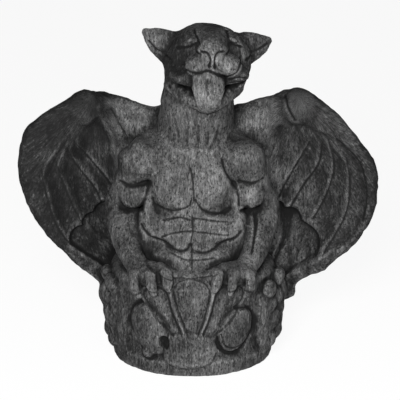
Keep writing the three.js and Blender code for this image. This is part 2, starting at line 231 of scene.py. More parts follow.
# ---- Head: a big cat's, thrown back with the jaws open. The skull and the jaw are two rounded masses,
# the muzzle, pads, lids and lips are laid on, and the mouth and the nostrils are cut in.
lump((19, -20, 393), (54, 50, 47), blend=8)  # skull
lump((18, -40, 371), (48, 36, 31), blend=8)  # jaws
lump((22, -42, 420), (38, 32, 21), blend=12)  # brow
limb(((22, -44, 414), (24, -70, 416), (25, -88, 417)), (27, 24, 19), blend=8)
lump((25, -92, 424), (17, 11, 10), blend=6)  # nose
lump((7, -86, 404), (20, 18, 14), (0, 0.1, 0), 6)  # pads of the muzzle
lump((43, -86, 403), (19, 18, 15), (0, 0.15, 0), 6)
lump((-8, -64, 385), (20, 19, 12), (0, 0.15, 0), 14)  # cheeks
lump((55, -62, 385), (16, 19, 12), (0, -0.1, 0), 14)
lump((58, -34, 398), (14, 22, 22), blend=12)  # left temple
lump((-22, -74, 410), (15, 22, 20), (0, 0, 0.5), 10, cut_away=True)  # hollow beside the muzzle
lump((20, -84, 371), (39, 32, 4.5), (-0.2, 0, 0), 3, cut_away=True)  # mouth
lump((-15, -70, 373), (16, 16, 3.4), (0, 0.12, 0), 2, cut_away=True)  # and its corners
lump((52, -68, 374), (15, 16, 3.4), (0, -0.2, 0), 2, cut_away=True)
lump((38, -88, 390), (4, 10, 4), blend=2, cut_away=True)  # gap beside the tongue
JAW = (
    (-29, -44, 370), (-19, -64, 366), (-8, -76, 361), (5, -83, 355),
    (19, -86, 350), (33, -82, 355), (45, -73, 362), (57, -56, 370),
)
limb(JAW, (7, 8, 8, 8, 8, 8, 8, 7), blend=5)
TEETH = ((-21, -66, 373), (-13, -73, 370), (-5, -78, 367), (45, -76, 368), (52, -70, 370), (59, -62, 373))
for tooth in TEETH:
    lump(tooth, (4, 4.5, 3.6), blend=1.5)
TONGUE = ((20, -62, 388), (20, -90, 389), (20, -100, 377), (20.5, -97, 362))
limb(TONGUE, (18, 19.5, 20, 17), flat=0.36, thin=(0, 0.95, 0.3), blend=2)
JAW_LINE = ((-28, 370), (-18, 359), (-4, 348), (6, 340), (18, 335), (32, 338), (46, 350))
crease(JAW_LINE, 3.0, 3.0, -66, -20)
for path, width, depth in (
    (((19, 388), (18, 378), (20, 370)), 2.2, 0.7),
    (((12, 423), (19, 422), (22.5, 414), (21, 405)), 1.3, 2.6),
    (((38, 423), (31, 422), (27.5, 413), (28, 404)), 1.3, 2.6),
    (((-10, 400), (6, 396), (20, 400), (31, 395), (42, 391), (55, 396), (60, 407)), 1.6, 2.2),
    (((6, 427), (5, 422), (9, 420)), 1.4, 0.8),
    (((45, 427), (46, 422), (42, 419)), 1.4, 0.8),
    (((-1, 446), (3, 438), (9, 431)), 1.5, 1.8),
    (((-18, 417), (-3, 422), (8, 430)), 1.6, 2.2),
    (((43, 438), (48, 426), (61, 419)), 1.5, 1.8),
    (((46, 384), (56, 387), (66, 385)), 1.4, 1.2),
    (((47, 379), (58, 381), (67, 379)), 1.4, 1.2),
):
    crease(path, width, depth, furthest_y=-40)
for path, raised in (
    (((5, 424), (12, 434), (25, 438), (38, 435), (45, 424)), 1.2),
    (((-20, 420), (-13, 432), (-3, 441)), 1.0),
    (((43, 440), (55, 434), (62, 419), (66, 408)), 1.0),
    (((25, 424), (25, 403)), 0.8),
):
    crease(path, 2.2, -raised, furthest_y=-30)
for x, z in ((0, 430), (50, 430)):
    lump((x, -61, z), (7, 7, 3.4), (0, -0.3 * np.sign(25 - x), 0), 1.5)
EARS = (
    ((-24, -8, 407), (-42, -10, 418), (-58, -8, 429)),
    ((62, -8, 407), (80, -10, 412), (95, -8, 418)),
)
EAR_HOLLOW = (0, -15, 4)  # from the middle of an ear to the middle of its cup
for ear in EARS:
    limb(ear, (23, 16, 6), 0.42, blend=6)
    limb([np.add(p, EAR_HOLLOW) for p in ear], (13, 9, 2), 0.6, blend=4, cut_away=True)
for path in (((-54, 419), (-46, 410), (-38, 406), (-27, 402)), ((94, 415), (84, 409), (68, 403))):
    crease(path, 1.6, 2.4)

# ---- Arms: short and heavy, elbows out. The hands grip the ledge, and each has three claws that hook
# over the shell.
FINGERS = (
    ((62, -86, 142), (72, -103, 136), (73, -109, 124), (67, -108, 112)),
    ((52, -90, 143), (52, -107, 138), (51, -114, 128), (48, -113, 116)),
    ((40, -92, 143), (33, -107, 139), (31, -112, 130), (29, -112, 121)),
)
lump((0, -78, 126), (44, 26, 15), blend=10)  # where the belly meets the ledge
for side in SIDES:
    lump((side * 30, -94, 133), (13, 12, 9), blend=5)  # heel of the thumb
    lump((side * 66, -20, 265), (29, 28, 27), blend=9)  # deltoid
    limb(on(side, (66, -20, 266), (80, -16, 236), (97, -8, 206)), (24, 20, 15), blend=6)
    lump((side * 75, -25, 222), (19, 20, 21), (0, side * 0.3, 0), 4)  # biceps
    limb(on(side, (97, -8, 208), (91, -24, 182), (79, -56, 154), (67, -84, 139)), (14, 20, 17, 12), blend=5)
    limb(on(side, (76, -22, 200), (76, -40, 178), (72, -62, 156)), (8, 10, 6), blend=3)
    lump((side * 53, -90, 135), (28, 20, 15), blend=6)  # back of the hand
    for base, knuckle, bend, tip in FINGERS:
        limb(on(side, base, knuckle, bend), (7, 7.5, 6.5), blend=3)
        lump((side * knuckle[0], knuckle[1], knuckle[2] + 2), (7.5, 7, 6), blend=2)
        limb(on(side, bend, tip), (6.5, 3.6), blend=1.5)
for path, width, depth in (
    (((-92, 240), (-76, 236), (-58, 240)), 2.4, 2.4),
    (((60, 242), (76, 239), (90, 244)), 2.4, 1.8),
    (((-55, 240), (-59, 224), (-64, 206)), 2.6, 3.5),
    (((52, 240), (58, 228), (60, 212)), 2.6, 3.0),
    (((62, 205), (74, 202), (86, 206)), 2.4, 3.0),
    (((-92, 204), (-76, 202), (-64, 206)), 2.4, 2.4),
    (((80, 197), (81, 182), (76, 158)), 2.0, 3.0),
):
    crease(path, width, depth, furthest_y=0)

# ---- Wings: a bat's, cupped forwards from the shoulders to the sides of the capital. A wing is a
# thick sheet: its front is y = f(x, z), its back lies behind that, and its edge is rounded.
WING_SHIFT = 5.0  # both wings stand this much to the figure's left
WING_SWAY = 0.085  # and lean back over by this much for each mm of height
SWAY_Z = 250.0
WING_OUTLINE = {
    -1: (
        (-30, 316), (-55, 321), (-85, 330), (-113, 341), (-142, 341), (-166, 333), (-198, 315),
        (-214, 299), (-221, 278), (-224, 252), (-221, 224), (-209, 192), (-196, 168), (-173, 140),
        (-150, 115), (-133, 100), (-116, 80), (-110, 60), (-60, 60), (-20, 200),
    ),
    1: (
        (30, 314), (52, 322), (80, 328), (102, 334), (121, 344), (141, 348), (161, 339),
        (188, 318), (212, 289), (235, 259), (239, 228), (237, 196), (229, 174), (213, 149),
        (190, 125), (173, 108), (149, 93), (136, 80), (128, 60), (64, 60), (20, 200),
    ),
}
BONES = {  # from the wrist out, in x and z
    -1: (
        ((-128, 322), (-149, 284), (-135, 263), (-115, 236), (-101, 214)),
        ((-132, 318), (-158, 274), (-146, 248), (-124, 214), (-117, 196)),
        ((-136, 320), (-172, 257), (-165, 231), (-151, 193), (-141, 174)),
        ((-150, 312), (-191, 250), (-187, 225), (-176, 182), (-158, 152), (-125, 124), (-96, 98)),
    ),
    1: (
        ((132, 312), (148, 280), (131, 244), (109, 197)),
        ((134, 312), (154, 294), (164, 277), (161, 249), (143, 220), (127, 188)),
        ((138, 312), (172, 286), (181, 247), (171, 205), (156, 176)),
        ((150, 310), (196, 262), (201, 228), (198, 190), (184, 159), (168, 132)),
    ),
}
# The membrane ends in scallops that hang between the rib tips, and behind it a second layer goes down.
HEM_CUSPS = {
    -1: ((-100, 190), (-131, 183), (-144, 170), (-158, 148)),
    1: ((103, 193), (122, 184), (144, 169), (162, 128)),
}
HEM_ENDS = {
    -1: ((-126, 121), (-92, 90), (-70, 100), (-80, 180)),
    1: ((140, 108), (116, 88), (70, 90), (84, 180)),
}
HEM_BULGE = 0.3  # how far a scallop rises, as a share of its width


def scallops(side):
    """Arcs from cusp to cusp: the straight line plus its normal times 4 t (1 - t) of the bulge."""
    cusps = np.array(HEM_CUSPS[side], float)
    t = np.linspace(0, 1, 9)[None, :-1, None]
    a, b = cusps[:-1, None], cusps[1:, None]
    normal = side * (b - a)[..., ::-1] * (-1, 1) * HEM_BULGE
    arcs = (a + t * (b - a) + normal * 4 * t * (1 - t)).reshape(-1, 2)
    return np.vstack([arcs, cusps[-1:], HEM_ENDS[side]])


def inside_of(loop, u, v):
    """How far each point of a plane lies inside a closed loop, negative outside, by even-odd crossings."""
    closed = np.vstack([loop, loop[:1]])
    nearest = np.full(np.broadcast(u, v).shape, EMPTY)
    odd = np.zeros(nearest.shape, bool)
    for a, b in zip(closed[:-1], closed[1:]):
        along = b - a
        t = np.clip(((u - a[0]) * along[0] + (v - a[1]) * along[1]) / max(along @ along, TINY), 0, 1)
        nearest = np.minimum(nearest, np.hypot(u - a[0] - t * along[0], v - a[1] - t * along[1]))
        if a[1] != b[1]:
            odd ^= ((v >= a[1]) != (v >= b[1])) & (u < a[0] + (v - a[1]) * along[0] / along[1])
    return np.where(odd, nearest, -nearest)


def ease(low, high, value):
    """0 below low, 1 above high and 3t^2 - 2t^3 between them."""
    t = np.clip((value - low) / (high - low), 0, 1)
    return t * t * (3 - 2 * t)


SAILS = {  # the outline of each membrane, inside the wing's rim
    -1: (
        (-130, 314), (-158, 300), (-180, 280), (-192, 250), (-188, 225), (-177, 182), (-159, 152),
        (-126, 121), (-98, 98), (-78, 130), (-76, 200), (-92, 250), (-114, 300),
    ),
    1: (
        (133, 314), (154, 304), (186, 290), (202, 275), (216, 259), (224, 234), (226, 207), (222, 180),
        (206, 153), (184, 139), (162, 125), (138, 108), (112, 92), (84, 130), (80, 200), (96, 250),
        (120, 300),
    ),
}
RIM = ((30, 14), (70, 20), (112, 27), (128, 14), (150, 1), (190, -9), (230, -12))  # out from the middle, y
RIM_STEP = {-1: 0, 1: 5}  # how far the membrane starts behind the rim
CUP = 22  # how deep the wing is hollowed
RIB_WIDE, RIB_HIGH = 7, 4.4
HEM_STEP = 9
WING_THICK, LEAST_THICK = 24, 14
EDGE_ROUND = 16
for side in SIDES:
    cut, x, y, z = patch((-250 if side < 0 else 0, -30, 50), (0 if side < 0 else 250, 100, 360))
    flat_x, flat_z = x[:, :, 0], z[0]
    edge = inside_of(smooth_path(WING_OUTLINE[side], steps=4, closed=True), flat_x, flat_z)
    out = side * (flat_x - WING_SHIFT + WING_SWAY * (flat_z - SWAY_Z))
    rim_y = np.interp(out, *zip(*RIM))
    sail = inside_of(smooth_path(SAILS[side], steps=4, closed=True), flat_x, flat_z)
    front = rim_y + RIM_STEP[side] * ease(-2, 5, sail) * ease(125, 165, out)
    front += CUP * ease(-8, 60, sail) * ease(60, 130, out)
    ribs, beside = np.full(front.shape, EMPTY), np.full(front.shape, EMPTY)
    for bone in BONES[side]:
        ribs = np.minimum(ribs, line_distance(bone, flat_x, flat_z))
        beside = np.minimum(beside, line_distance(bone, flat_x - side * 3.6, flat_z))
    strong = 1 - ease(272, 306, flat_z)
    front -= strong * (0.5 * np.exp(-((ribs / 2.4) ** 2)) + RIB_HIGH * np.exp(-((ribs / RIB_WIDE) ** 2)))
    front += strong * 1.2 * np.exp(-((beside / 1.7) ** 2))
    front += 9 * np.exp(-(((out - 108) / 15) ** 2)) * ease(262, 312, flat_z)
    hem = inside_of(scallops(side), flat_x, flat_z)
    front += HEM_STEP * ease(-1.0, 1.6, hem) - 2.0 * np.exp(-(((hem + 4) / 4) ** 2))
    back = rim_y + WING_THICK + CUP * ease(0, 70, edge) * ease(40, 120, out)
    back = np.maximum(back, front + LEAST_THICK)
    skin = -soft_min((y - front[:, None, :]) * 0.9, (back[:, None, :] - y) * 0.9, 4)
    skin = -soft_min(-skin, np.broadcast_to(edge[:, None, :] + 2, skin.shape), EDGE_ROUND)
    press(cut, skin.astype(np.float32), 8)


def winged(side, *points):
    """Points of a wing given for the figure's left, mirrored, shifted and swayed as the wings are."""
    return [(side * x + WING_SHIFT - WING_SWAY * (z - SWAY_Z), y, z) for x, y, z in points]


UPPER_BONE = ((40, 24, 280), (74, 26, 298), (104, 28, 316), (134, 16, 330))
for side in SIDES:
    limb(winged(side, *UPPER_BONE), (30, 26, 20, 14), 0.7, blend=12)
    lump(winged(side, (136, 4, 328))[0], (16, 12, 20), blend=16)
crease(((121, 340), (123, 330), (132, 314)), 2.2, 2.2)
crease(SAILS[1][2:8], 1.8, 1.2, -40, 60)
SHADOW_LINE_BESIDE, SHADOW_LINE_TOP_Z = 3.4, 290  # a painted shadow line lies beside each rib, below the wrist
for side in SIDES:
    scored.append((scallops(side)[:-4], -20, 90))
    for bone in BONES[side]:
        scored.append(([(x + side * SHADOW_LINE_BESIDE, z) for x, z in bone if z < SHADOW_LINE_TOP_Z], -40, 90))
crease(((-118, 330), (-112, 300), (-103, 272)), 6.0, -4.0)
crease(((-104, 322), (-92, 300), (-84, 286)), 7.0, 5.0)
crease(((118, 143), (109, 124), (100, 104)), 2.4, -2.2, 0, 80)
crease(((124, 141), (115, 122), (106, 104)), 2.0, 1.6, 0, 80)

# ---- Capital: a round drum on a low plinth. Its front is a scallop shell between two scrolls, and
# leaves stand round the rest of it. The relief is drawn on the unrolled face and wrapped round.
LEDGE_Z = 131.0
DRUM = (  # height and radius
    (-5, 103), (3, 104), (18, 105), (26, 100), (36, 99),
    (60, 102), (90, 105), (118, 108), (126, 106), (140, 100),
)
UNROLL = 108.0  # the radius at which lengths along the face are true
cut, x, y, z = patch((-140, -140, -10), (140, 140, 160))
radius = np.hypot(x, y)
turn = np.arctan2(x, -y)
SCALE = 0.75
face_u = np.arange(-UNROLL * np.pi, UNROLL * np.pi + SCALE, SCALE)[:, None]
face_z = np.arange(-6, 146, SCALE)[None, :]


def unrolled(points):
    """Points in x and z on the drum's face, with x turned into length along the unrolled face."""
    return [(UNROLL * np.arcsin(np.clip(px / UNROLL, -1, 1)), pz) for px, pz in points]


relief = np.zeros(np.broadcast(face_u, face_z).shape)
PETALS = (
    (
        (-5, 55), (-11, 72), (-18, 91), (-23, 114), (-18, 127), (-1, 131), (15, 127), (22, 116), (20, 97),
        (13, 70), (7, 55),
    ),
    (
        (-14, 56), (-21, 73), (-28, 93), (-33, 114), (-46, 120), (-60, 112), (-60, 102), (-48, 84),
        (-34, 65), (-25, 55),
    ),
    (
        (15, 56), (21, 70), (27, 91), (32, 114), (46, 121), (62, 116), (64, 103), (58, 90), (45, 72),
        (31, 55),
    ),
)
for petal in PETALS:
    depth = inside_of(smooth_path(unrolled(petal), steps=4, closed=True), face_u, face_z)
    relief += 1.8 * np.exp(-(((depth + 3.2) / 2.4) ** 2)) - 3.2 * np.exp(-((depth / 1.5) ** 2))
    relief += 1.6 * ease(2, 14, depth)


def mound(at, size, tilt, rise):
    """An oval rise on the unrolled face: rise * sqrt(1 - |q|^2) inside the oval, with q in its own
    turned frame."""
    u, v = face_u - unrolled([at])[0][0], face_z - at[1]
    across = (u * np.cos(tilt) + v * np.sin(tilt)) / size[0]
    up = (v * np.cos(tilt) - u * np.sin(tilt)) / size[1]
    q = np.hypot(across, up)
    return rise * np.sqrt(np.clip(1 - q**2, 0, 1))


relief = np.maximum(relief, mound((-57, 60), (25, 37), 0.42, 15))
relief = np.maximum(relief, mound((58, 60), (25, 32), -0.42, 12))
relief = np.maximum(relief, mound((-58, 30), (10, 9), 0, 10))
relief = np.maximum(relief, mound((-5, 36), (40, 24), 0, 7))
relief -= mound((-36, 46), (5.5, 10), 0.2, 11)
SCROLLS = (  # each a path, its width and its rise
    (((34, 52), (37, 38), (48, 28), (66, 29), (76, 42), (82, 64), (74, 84), (56, 90)), 2.0, -3.0),
    (((38, 56), (42, 42), (54, 35), (68, 40), (73, 54)), 1.8, -2.0),
    (((-47, 28), (-56, 20), (-68, 26), (-70, 38)), 1.8, -2.2),
    (((-77, 44), (-83, 62), (-78, 84), (-66, 96)), 2.4, -3.0),
    (((-58, 30), (-58, 31)), 5.0, 2.0),
    (((58, 29), (58, 30)), 2.0, -3.0),
    (((64, 30), (64, 31)), 2.0, -3.0),
)
for path, width, rise in SCROLLS:
    relief += rise * np.exp(-((line_distance(unrolled(path), face_u, face_z) / width) ** 2))
column = np.clip((turn * UNROLL - face_u[0, 0]) / SCALE, 0, len(face_u) - 1.001)
row = np.clip((z - face_z[0, 0]) / SCALE, 0, face_z.shape[1] - 1.001)
i = np.broadcast_to(column, clay[cut].shape).astype(int)
k = np.broadcast_to(row, clay[cut].shape).astype(int)
share_u, share_z = column - np.floor(column), row - np.floor(row)
wrapped = (relief[i, k] * (1 - share_u) + relief[i + 1, k] * share_u) * (1 - share_z)
wrapped += (relief[i, k + 1] * (1 - share_u) + relief[i + 1, k + 1] * share_u) * share_z
side_wall = radius - np.interp(z, *zip(*DRUM)) - wrapped
LEDGE_ROUND, FOOT_ROUND = 14, 3
drum = -soft_min(soft_min(-side_wall, LEDGE_Z - z, LEDGE_ROUND), z, FOOT_ROUND)
press(cut, drum.astype(np.float32), 3)

LEAF_STEP = np.radians(34)
LEAF_START = np.radians(100)
LEAVES_EACH_SIDE = 3
LOBES = (  # degrees from the leaf's spine, height, width and tallness
    (0, 96, 20, 15), (-11, 76, 15, 14), (11, 78, 15, 14), (-12, 54, 14, 14), (12, 52, 15, 15),
    (0, 62, 13, 30), (-7, 35, 15, 12), (9, 33, 14, 12),
)


def on_drum(angle, height, wide, tall, out=0.0, thick=9.0, blend=2.5, lean=0.0):
    """A flat lobe standing on the drum's face at an angle from the front, leaning in that face."""
    reach = 103 + 0.05 * height + out
    at = (reach * np.sin(angle), -reach * np.cos(angle), height)
    lump(at, (wide, thick, tall), (0, lean, angle), blend)


for side in SIDES:
    for number in range(LEAVES_EACH_SIDE):
        spine = side * (LEAF_START + number * LEAF_STEP)
        for shift, height, wide, tall in LOBES:
            on_drum(spine + np.radians(shift), height, wide, tall)
# the worn leaves at each side of the shell, where no two lobes are alike
WORN_LOBES = (  # degrees from the front, height, width, tallness and lean
    (-82, 112, 13, 11, 0), (-68, 106, 17, 9, 0.5), (-74, 86, 11, 11, 0), (-88, 86, 12, 14, 0),
    (-62, 84, 6, 17, -0.2), (-78, 58, 11, 19, 0.1), (-92, 56, 12, 16, 0), (-65, 54, 5, 22, -0.1),
    (-86, 34, 12, 13, 0), (-70, 31, 13, 13, 0.2), (-96, 30, 12, 12, 0), (60, 104, 12, 12, 0),
    (77, 110, 14, 11, -0.4), (74, 88, 13, 12, 0), (90, 90, 12, 15, 0), (62, 82, 8, 11, 0.5),
    (84, 66, 14, 13, 0), (68, 60, 13, 14, 0.3), (78, 40, 17, 14, 0), (94, 46, 13, 20, 0),
    (64, 34, 10, 12, -0.2),
)
# the swell that the worn leaves stand on
for degrees in (-62, -80, 60, 78):
    on_drum(np.radians(degrees), 62, 18, 46, -3.0 if degrees < 0 else 0.0, 11.0, blend=8)
for degrees, height, wide, tall, lean in WORN_LOBES:
    on_drum(np.radians(degrees), height, wide, tall, 3.0 if degrees < 0 else 6.0, blend=3.5, lean=lean)
for ring, raised in ((11.0, 2.0), (5.0, 2.5)):
    on_drum(np.radians(60), 104, ring, ring, 3.0 + raised, blend=1.5)
# rough stone left where the wings run into the leaves
for x in (-111, 113):
    lump((x, 8, 77), (13, 22, 15), blend=6)

# ---- Casting: the skin is drawn off the clay where the field is nil, one point in each grid cell that
# it passes through, and then thinned where it is flat.
rough = np.random.default_rng(7)


def soft_noise(size_mm, height):
    """Gentle unevenness: random values on a coarse lattice, read between its points by straight lines."""
    shape = [int(np.ceil(len(axis) * GRID / size_mm)) + 2 for axis in axes]
    lattice = rough.normal(0, height, shape).astype(np.float32)
    for k, axis in enumerate(axes):
        place = np.arange(len(axis)) * GRID / size_mm
        low = place.astype(int)
        share = ease(0, 1, place - low).astype(np.float32)
        share = share.reshape([-1 if n == k else 1 for n in range(3)])
        lattice = np.take(lattice, low, k) * (1 - share) + np.take(lattice, low + 1, k) * share
    return lattice


clay += soft_noise(16, 0.45)
clay += soft_noise(5.5, 0.28)
clay = np.maximum(clay, -axes[2])  # the underside is sawn flat


def draw_skin(field):
    """Points and four-sided faces of the surface where field is nil. A point is the mean of where the field
    changes sign along its cell's 12 edges, and a face joins the 4 cells round each such grid edge."""
    inside = field < 0
    cells = tuple(n - 1 for n in field.shape)
    corners = [(a, b, c) for a in (0, 1) for b in (0, 1) for c in (0, 1)]
    ahead = (tuple(slice(n, n + cell) for n, cell in zip(corner, cells)) for corner in corners)
    count = sum(inside[part].astype(np.int8) for part in ahead)
    place = np.argwhere((count > 0) & (count < 8))
    number = np.full(cells, -1, np.int32)
    number[tuple(place.T)] = np.arange(len(place))
    total, hits = np.zeros((len(place), 3)), np.zeros(len(place))
    for corner in corners:
        for k in range(3):
            if corner[k]:
                continue
            other = tuple(corner[n] + (n == k) for n in range(3))
            a, b = (field[tuple((place + step).T)] for step in (corner, other))
            crossed = (a < 0) != (b < 0)
            share = np.where(crossed, a / np.where(crossed, a - b, 1), 0)
            point = np.array(corner) + share[:, None] * (np.arange(3) == k)
            total += point * crossed[:, None]
            hits += crossed
    points = place + total / hits[:, None]
    faces = []
    for k in range(3):
        u, v = (k + 1) % 3, (k + 2) % 3
        start = inside[tuple(slice(0, -1) if n == k else slice(1, -1) for n in range(3))]
        stop = inside[tuple(slice(1, None) if n == k else slice(1, -1) for n in range(3))]
        at = np.argwhere(start != stop) + (np.arange(3) != k)
        ring = []
        for du, dv in ((-1, -1), (0, -1), (0, 0), (-1, 0)):
            near = at.copy()
            near[:, u] += du
            near[:, v] += dv
            ring.append(number[tuple(near.T)])
        ring = np.stack(ring, 1)
        leaving = inside[tuple(at.T)]
        faces.append(np.where(leaving[:, None], ring, ring[:, ::-1]))
    origin = np.array([axis[0] for axis in axes])
    return origin + points * GRID, np.vstack(faces)


points, faces = draw_skin(clay)
cast = bpy.data.meshes.new("gargoyle")
cast.from_pydata(points / MM, [], faces)
figure = bpy.data.objects.new("cast_gargoyle", cast)
bpy.context.scene.collection.objects.link(figure)
MOST_TRIANGLES = 190_000
triangles = 2 * len(faces)
if triangles > MOST_TRIANGLES:
    # the back may be thinned more than the face, the hands and the shell
    BACK_Y, FRONT_Y = 45, -25
    depth_y = points[:, 1]
    spare = figure.vertex_groups.new(name="may_thin")
    for chosen, weight in (
        (depth_y > BACK_Y, 1.0),
        ((depth_y <= BACK_Y) & (depth_y > FRONT_Y), 0.4),
        (depth_y <= FRONT_Y, 0.15),
    ):
        spare.add(np.flatnonzero(chosen).tolist(), weight, "REPLACE")
    thin = figure.modifiers.new("thin", "DECIMATE")
    thin.vertex_group = spare.name
    thin.ratio = MOST_TRIANGLES / triangles
    thin.use_collapse_triangulate = True
    graph = bpy.context.evaluated_depsgraph_get()
    thinned = bpy.data.meshes.new_from_object(figure.evaluated_get(graph))
    figure.modifiers.clear()
    figure.data = thinned
    bpy.data.meshes.remove(cast)
    cast = thinned
    cast.name = "gargoyle"
cast.polygons.foreach_set("use_smooth", np.ones(len(cast.polygons), bool))


def read(values, at):
    """values at points in mm, read between the grid's samples by straight lines."""
    last = np.array(values.shape) - 1.001
    place = np.clip((at - [axis[0] for axis in axes]) / GRID, 0, last)
    low = place.astype(int)
    share = place - low
    total = np.zeros(len(at))
    for a in (0, 1):
        for b in (0, 1):
            for c in (0, 1):
                weight = np.prod(np.abs(1 - np.array((a, b, c)) - share), axis=1)
                total += weight * values[low[:, 0] + a, low[:, 1] + b, low[:, 2] + c]
    return total


def blurred(values, reach):
    """values averaged over a cube of that reach in mm, by running sums along each axis in turn."""
    half = max(1, round(reach / GRID))
    for k in range(3):
        pad = [(half + 1, half) if n == k else (0, 0) for n in range(3)]
        total = np.cumsum(np.pad(values, pad, mode="edge"), axis=k, dtype=np.float32)
        ahead = tuple(slice(2 * half + 1, None) if n == k else slice(None) for n in range(3))
        behind = tuple(slice(None, -2 * half - 1) if n == k else slice(None) for n in range(3))
        values = (total[ahead] - total[behind]) / (2 * half + 1)
    return values


def keep(name, values, kind="FLOAT", field="value"):
    """Stores a number or a vector for each point of the casting, which the stone reads by that name."""
    cast.attributes.new(name, kind, "POINT").data.foreach_set(field, values.astype(np.float32).ravel())


# Three measures of how each place lies, all shares of stone in a box: how sharp its edge or groove is
# (the box round it, less the half of a flat face), and how much stone stands close and far before it.
where = np.empty(len(cast.vertices) * 3)
cast.vertices.foreach_get("co", where)
where = where.reshape(-1, 3) * MM
ways = np.eye(3) * GRID
facing = np.stack([read(clay, where + way) - read(clay, where - way) for way in ways], 1)
facing /= np.maximum(np.linalg.norm(facing, axis=1), TINY)[:, None]
solid = np.clip(0.5 - clay / GRID, 0, 1)
# The stone uses close and shut_in for painted shade in hollows, and groove for dark wash and painted shade
# in grooves and for rubbed wear on the edges.
HOLLOWS = (("groove", 2.0, 0, 0.5), ("close", 3.5, 4.5, 0), ("shut_in", 10.0, 15.0, 0))
for name, reach, step, level in HOLLOWS:
    keep(name, read(blurred(blurred(solid, reach), reach), where + facing * step) - level)

# How far each place lies from the nearest scored line, and on which side of it, so that the painted shadow
# line and dark wash can be drawn finer than the mesh: side = near * sign of (line's direction x offset from
# it).
FAR_OFF = 10.0
LINE_REACH = 6
near, side_of = np.full(len(where), FAR_OFF), np.full(len(where), FAR_OFF)


def mark_near_line(path, chosen, u, v):
    """Keeps the nearest distance to the line through path, and the side, at the chosen places near it."""
    line = smooth_path(path)
    for k, place in enumerate((u, v)):
        chosen = chosen & (place > line[:, k].min() - LINE_REACH) & (place < line[:, k].max() + LINE_REACH)
    at = np.flatnonzero(chosen)
    for a, b in zip(line[:-1], line[1:]):
        along, off = b - a, np.stack([u[at], v[at]], 1) - a
        t = np.clip(off @ along / max(along @ along, TINY), 0, 1)
        gap = np.linalg.norm(off - t[:, None] * along, axis=1)
        closer = gap < near[at]
        near[at[closer]] = gap[closer]
        turned = np.sign(along[0] * off[:, 1] - along[1] * off[:, 0])
        side_of[at[closer]] = (gap * turned)[closer]


to_front = facing[:, 1] < 0.2
for path, nearest_y, furthest_y in scored:
    chosen = (where[:, 1] > nearest_y) & (where[:, 1] < furthest_y) & to_front
    mark_near_line(path, chosen, where[:, 0], where[:, 2])
INSIDE_DRUM = 94
on_shell = (np.hypot(where[:, 0], where[:, 1]) > INSIDE_DRUM) & (where[:, 2] < LEDGE_Z + 4)
on_shell &= where[:, 1] < -20
along_face = np.arctan2(where[:, 0], -where[:, 1]) * UNROLL
for petal in PETALS:
    mark_near_line(unrolled(petal), on_shell, along_face, where[:, 2])
for path, width, rise in SCROLLS:
    if rise < 0:
        mark_near_line(unrolled(path), on_shell, along_face, where[:, 2])
keep("line_near", near)
keep("line_side", side_of)


def spot(at, size, power=2):
    """A soft spot in x and z: exp(-d^power), with d the distance from at as a share of size."""
    across, up = (where[:, 0] - at[0]) / size[0], (where[:, 2] - at[1]) / size[1]
    return np.exp(-(np.hypot(across, up) ** power))


# A darkening map: darker out on the wings, most on the figure's right one, and on the head's right flank,
# and lighter on the chest, the tongue, the pads of the muzzle and the brow.
right_more = where[:, 0] * np.where(where[:, 0] < 0, 1.12, 1.0)
out_from_body = np.hypot(right_more, 0.55 * (where[:, 2] - 190))
darkening = 0.20 * ease(70, 235, out_from_body)
darkening += 0.10 * ease(80, 130, -where[:, 0]) * ease(100, 150, where[:, 2])
darkening += 0.22 * spot((-24, 398), (17, 26))
darkening -= 0.07 * spot((8, 215), (75, 75))
darkening -= 0.18 * spot((20, 372), (20, 22), 4) * (where[:, 1] < -84)
darkening -= 0.10 * spot((26, 407), (34, 15), 4) * (where[:, 1] < -80)
darkening -= 0.12 * spot((22, 438), (30, 10))
keep("darkening", darkening)

# The chasing runs down the body and fans out over the wings from the wrist: across and along it.
WRIST_Z = 345
FAN = 120  # the distance from the wrist at which lengths across the fan are true
wrist = np.where(where[:, 0] < 0, -126, 136)
from_wrist = np.hypot(where[:, 0] - wrist, where[:, 2] - WRIST_Z)
bearing = np.arctan2(where[:, 0] - wrist, WRIST_Z - where[:, 2])
on_wing = (np.abs(where[:, 0]) > 100) & (where[:, 1] > -26)
grain = np.where(on_wing[:, None], np.stack([bearing * FAN, where[:, 1], from_wrist], 1), where)
keep("grain", grain / MM, "FLOAT_VECTOR", "vector")

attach(figure, "root")
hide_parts("gargoyle")

# ---- Stone: a grey cast stone mix, washed near black and rubbed paler on its high places, with painted
# shade in its grooves and hollows and painted shadow lines along its creases, the chisel's fine drag over
# it and small air pits.
stone = bpy.data.materials.new("cast_stone")
stone.use_nodes = True
nodes, links = stone.node_tree.nodes, stone.node_tree.links
shader = nodes["Principled BSDF"]


def node(kind, **values):
    """A node with its settings, and with its inputs set or linked by name, or by number as i0, i1."""
    made = nodes.new("ShaderNode" + kind)
    for key, value in values.items():
        if hasattr(made, key):
            setattr(made, key, value)
            continue
        numbered = key[0] == "i" and key[1:].isdigit()
        socket = made.inputs[int(key[1:]) if numbered else key.replace("_", " ")]
        if isinstance(value, bpy.types.NodeSocket):
            links.new(value, socket)
        else:
            socket.default_value = value
    return made


def between(value, low, high, to_low=0.0, to_high=1.0):
    """value mapped in a straight line from low..high to to_low..to_high, and held there."""
    made = node("MapRange", i1=low, i2=high, i3=to_low, i4=to_high)
    links.new(value, made.inputs[0])
    return made.outputs[0]


def combine(operation, a, b):
    return node("Math", operation=operation, i0=a, i1=b).outputs[0]


def kept(name):
    """A number that the casting keeps at each point."""
    return node("Attribute", attribute_name=name).outputs["Fac"]


def noise(place, scale, **settings):
    return node("TexNoise", Vector=place, Scale=scale, **settings).outputs["Fac"]


object_place = node("TexCoord").outputs["Object"]
grain_place = node("Attribute", attribute_name="grain").outputs["Vector"]
groove = kept("groove")

